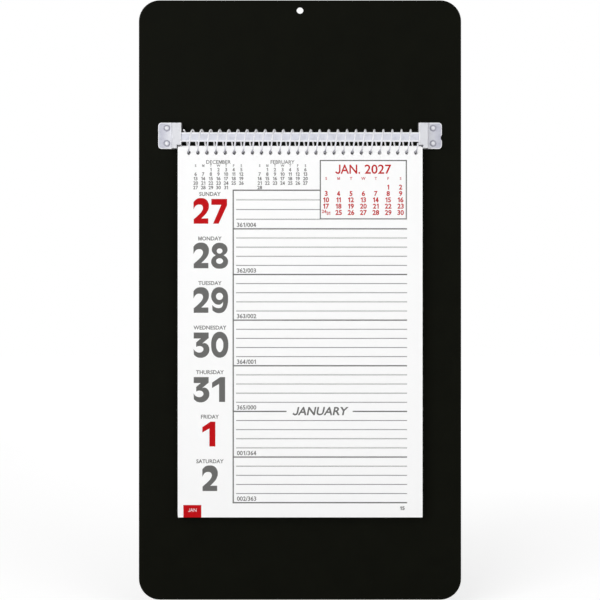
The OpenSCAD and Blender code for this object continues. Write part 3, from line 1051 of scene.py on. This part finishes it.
def print_months(week):
    """Tables of the months before and after, and the boxed table of the sheet's month"""
    last = BOX_MONTH - datetime.timedelta(days=1)
    after = BOX_MONTH.replace(month=BOX_MONTH.month + 1)
    side = Printer(week)
    for month, table in ((last, LAST_MONTH_TABLE), (after, NEXT_MONTH_TABLE)):
        name = calendar.month_name[month.month].upper()
        middle = (table.first_column + DAYS // 2 * table.column_pitch) * MM
        side.write(name, middle, table.title_down * MM, table.title_caps * MM, TITLE_STYLE)
        print_table(side, month, table, SIDE_DATE_STYLE)
    side.done("side_months", ink_material("grey_ink"))
    boxed = Printer(week)
    left, right = (v * MM for v in BOX_TITLE)
    title = BOX_TABLE.title_down * MM, BOX_TABLE.title_caps * MM
    boxed.write(f"{BOX_MONTH_NAME}.", left, *title, BOX_MONTH_STYLE, STARTING)
    boxed.write(str(BOX_MONTH.year), right, *title, BOX_YEAR_STYLE, ENDING)
    print_table(boxed, BOX_MONTH, BOX_TABLE, BOX_DATE_STYLE)
    boxed.done("month_table", ink_material("red_ink"))


def print_tag(week):
    """The month's tag at the sheet's lower edge"""
    layout = settings().layout
    left, top, right = (v * MM for v in MONTH_TAG)
    low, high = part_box(week.node)
    tag = Printer(week)
    tag.bar(left, top, right, high.z - low.z)
    tag.done("month_tag", ink_material("red_ink"))
    name = Printer(week)
    middle = (left + right) / 2
    name.write(BOX_MONTH_NAME, middle, TAG_DOWN, layout.tag_caps, TAG_STYLE, lift=layout.bed)
    name.done("tag_name", paper_material())


# Stage

def soft_lamp(lamp, target, power):
    """A square area lamp that looks at a target"""
    data = bpy.data.lights.new(lamp.name, "AREA")
    data.shape = "SQUARE"
    data.size = lamp.size
    data.energy = power
    made = add_object(lamp.name, data)
    made.location = lamp.place
    made.rotation_mode = "QUATERNION"
    made.rotation_quaternion = (target - Vector(lamp.place)).to_track_quat("-Z", "Y")


def studio_world(ambient):
    """Even light all round, with a white background"""
    world = bpy.data.worlds.new("studio")
    world.use_nodes = True
    tree = world.node_tree
    tree.nodes.clear()
    white = (1.0, 1.0, 1.0, 1.0)
    even = add_node(tree, "ShaderNodeBackground", {"Color": white, "Strength": ambient})
    background = add_node(tree, "ShaderNodeBackground", {"Color": white, "Strength": 1.0})
    both = add_node(tree, "ShaderNodeMixShader",
                    {0: seen_directly(tree), 1: even.outputs[0], 2: background.outputs[0]})
    add_node(tree, "ShaderNodeOutputWorld", {"Surface": both.outputs[0]})
    bpy.context.scene.world = world


# Operators

class CALENDAR_OT_stage(bpy.types.Operator):
    """Makes the floor, the light and the camera"""

    bl_idname = "calendar.stage"
    bl_label = "Stage"

    def execute(self, context):
        stage = settings().stage
        low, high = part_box("backing_board")
        middle = (low + high) / 2
        bm = bmesh.new()
        bmesh.ops.create_grid(bm, x_segments=1, y_segments=1, size=FLOOR_REACH,
                              matrix=Matrix.Translation((0.0, 0.0, low.z - stage.floor_drop)))
        mesh = mesh_from(bm, "floor")
        mesh.materials.append(floor_material())
        floor = add_object("floor", mesh)
        studio_world(stage.ambient)
        for lamp in LAMPS:
            soft_lamp(lamp, middle, getattr(stage, lamp.power))
        data = bpy.data.cameras.new("camera")
        frame_width = (high.x - low.x) * PHOTO_PX / (BOARD_RIGHT_PX - BOARD_LEFT_PX)
        data.lens = data.sensor_width * stage.camera_distance / frame_width
        camera = add_object("camera", data)
        camera.location = (middle.x, low.y - stage.camera_distance, middle.z)
        camera.rotation_euler = (math.radians(90), 0.0, 0.0)
        context.scene.camera = camera
        context.scene.view_settings.view_transform = "Standard"
        return {"FINISHED"}


class CALENDAR_OT_backing_board(bpy.types.Operator):
    """Makes the black backing board with its rounded edges"""

    bl_idname = "calendar.backing_board"
    bl_label = "Backing board"

    def execute(self, context):
        rounded_copy("backing_board", "board", board_material(), settings().sizes.board_edge)
        return {"FINISHED"}


class CALENDAR_OT_brackets(bpy.types.Operator):
    """Makes the two milky brackets"""

    bl_idname = "calendar.brackets"
    bl_label = "Brackets"

    def execute(self, context):
        milky = plastic_material("milky_bracket", bracket_body, size=4 * MM, roughness=(0.26, 0.4),
                                 relief=0.1)
        for side in ("left", "right"):
            rounded_copy(f"{side}_bracket", f"{side}_moulding", milky,
                         settings().sizes.moulding_edge)
        return {"FINISHED"}


class CALENDAR_OT_rivets(bpy.types.Operator):
    """Makes the four rivets of the brackets"""

    bl_idname = "calendar.rivets"
    bl_label = "Rivets"

    def execute(self, context):
        milky = plastic_material("milky_rivet", rivet_body, size=1.2 * MM, roughness=(0.22, 0.34))
        piece = make_piece(cad_copy("bracket_rivets"), "rivets", milky, "root")
        shade_smooth(piece)
        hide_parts("bracket_rivets")
        return {"FINISHED"}


class CALENDAR_OT_hanger_bar(bpy.types.Operator):
    """Makes the bar that carries the coil"""

    bl_idname = "calendar.hanger_bar"
    bl_label = "Hanger bar"

    def execute(self, context):
        edge = settings().sizes.moulding_edge
        milky = plastic_material("milky_bar", bar_body, size=5 * MM, roughness=(0.24, 0.38), relief=0.08)
        piece = rounded_copy("hanger_bar", "bar", milky, edge)
        let_light_through(piece)
        return {"FINISHED"}


class CALENDAR_OT_binding_coil(bpy.types.Operator):
    """Winds the binding coil"""

    bl_idname = "calendar.binding_coil"
    bl_label = "Binding coil"

    def execute(self, context):
        body = body_of_node("binding_coil")
        clear = plastic_material("coil_filament", coil_body, size=2.5 * MM, roughness=(0.2, 0.32))
        piece = make_piece(coil_mesh(), "coil", clear, body)
        let_light_through(piece)
        shade_smooth(piece)
        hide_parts("binding_coil")
        return {"FINISHED"}


class CALENDAR_OT_sheets(bpy.types.Operator):
    """Gives the printed sheets their paper and makes the pad behind them"""

    bl_idname = "calendar.sheets"
    bl_label = "Sheets"

    def execute(self, context):
        paper = paper_material()
        printed = [week.node for week in WEEKS]
        for node in printed:
            materials = frame["nodes"][node].data.materials
            materials.clear()
            materials.append(paper)
        plain = [node for node in SHEETS if node not in printed]
        piece = make_piece(sheet_stack(plain), "sheet_stack", paper, body_of_node(plain[0]))
        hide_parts(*plain)
        return {"FINISHED"}


class CALENDAR_OT_rules(bpy.types.Operator):
    """Prints the rules and writing lines"""

    bl_idname = "calendar.rules"
    bl_label = "Rules"

    def execute(self, context):
        for week in WEEKS:
            print_rules(week)
        return {"FINISHED"}


class CALENDAR_OT_days(bpy.types.Operator):
    """Prints the days' names, numbers and counts"""

    bl_idname = "calendar.days"
    bl_label = "Days"

    def execute(self, context):
        for week in WEEKS:
            print_days(week)
        return {"FINISHED"}


class CALENDAR_OT_months(bpy.types.Operator):
    """Prints the months' tables"""

    bl_idname = "calendar.months"
    bl_label = "Months"

    def execute(self, context):
        for week in WEEKS:
            print_months(week)
        return {"FINISHED"}


class CALENDAR_OT_tag(bpy.types.Operator):
    """Prints the month's tag"""

    bl_idname = "calendar.tag"
    bl_label = "Month tag"

    def execute(self, context):
        for week in WEEKS:
            print_tag(week)
        return {"FINISHED"}


OPERATORS = (
    CALENDAR_OT_stage,
    CALENDAR_OT_backing_board,
    CALENDAR_OT_brackets,
    CALENDAR_OT_rivets,
    CALENDAR_OT_hanger_bar,
    CALENDAR_OT_binding_coil,
    CALENDAR_OT_sheets,
    CALENDAR_OT_rules,
    CALENDAR_OT_days,
    CALENDAR_OT_months,
    CALENDAR_OT_tag,
)


# Panel and registration

class CALENDAR_PT_panel(bpy.types.Panel):
    """Sizes, colours and pieces of the weekly calendar"""

    bl_idname = "CALENDAR_PT_panel"
    bl_label = "Weekly calendar"
    bl_space_type = "VIEW_3D"
    bl_region_type = "UI"
    bl_category = "Calendar"

    def draw(self, context):
        for group in (settings().sizes, settings().layout, settings().colours, settings().stage):
            box = self.layout.box()
            for key in group.__annotations__:
                box.prop(group, key)
        for operator in OPERATORS:
            self.layout.operator(operator.bl_idname)


GROUPS = (CalendarSizes, CalendarPrint, CalendarColours, CalendarStage, CalendarSettings)
CLASSES = (*GROUPS, *OPERATORS, CALENDAR_PT_panel)


def register():
    for cls in CLASSES:
        bpy.utils.register_class(cls)
    bpy.types.Scene.weekly_calendar = PointerProperty(type=CalendarSettings)


def unregister():
    del bpy.types.Scene.weekly_calendar
    for cls in reversed(CLASSES):
        bpy.utils.unregister_class(cls)


def main():
    register()
    bpy.ops.calendar.stage()
    bpy.ops.calendar.backing_board()
    bpy.ops.calendar.brackets()
    bpy.ops.calendar.rivets()
    bpy.ops.calendar.hanger_bar()
    bpy.ops.calendar.binding_coil()
    bpy.ops.calendar.sheets()
    bpy.ops.calendar.rules()
    bpy.ops.calendar.days()
    bpy.ops.calendar.months()
    bpy.ops.calendar.tag()


if __name__ == "__main__":
    main()
